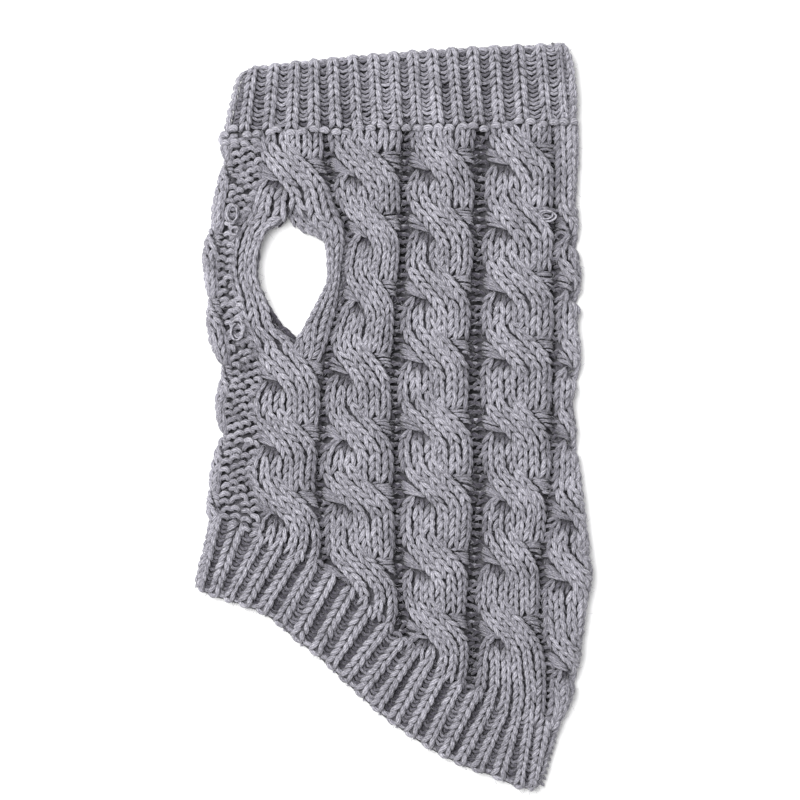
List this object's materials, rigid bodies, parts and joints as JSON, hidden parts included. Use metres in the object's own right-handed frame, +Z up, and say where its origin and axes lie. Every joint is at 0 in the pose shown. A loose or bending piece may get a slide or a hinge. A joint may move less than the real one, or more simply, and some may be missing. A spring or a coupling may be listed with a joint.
{
  "type": "dog sweater",
  "caption": "Cable-knit dog sweater lying flat on its side, with a ribbed collar, a slanted ribbed hem and leg holes that lie over each other.",
  "frame": {"origin": "on the surface that the sweater lies on, under the middle of its outline", "axes": "+Z up from the surface, +Y towards the neck, +X towards the back edge of the sweater"},
  "size_m": [0.2008, 0.3742, 0.0128],
  "materials": {
    "grey_knit": "soft heathered acrylic knit"
  },
  "bodies": {
    "root": {"body_near": "grey_knit", "body_far": "grey_knit", "collar": "grey_knit", "hem": "grey_knit"}
  },
  "joints": []
}
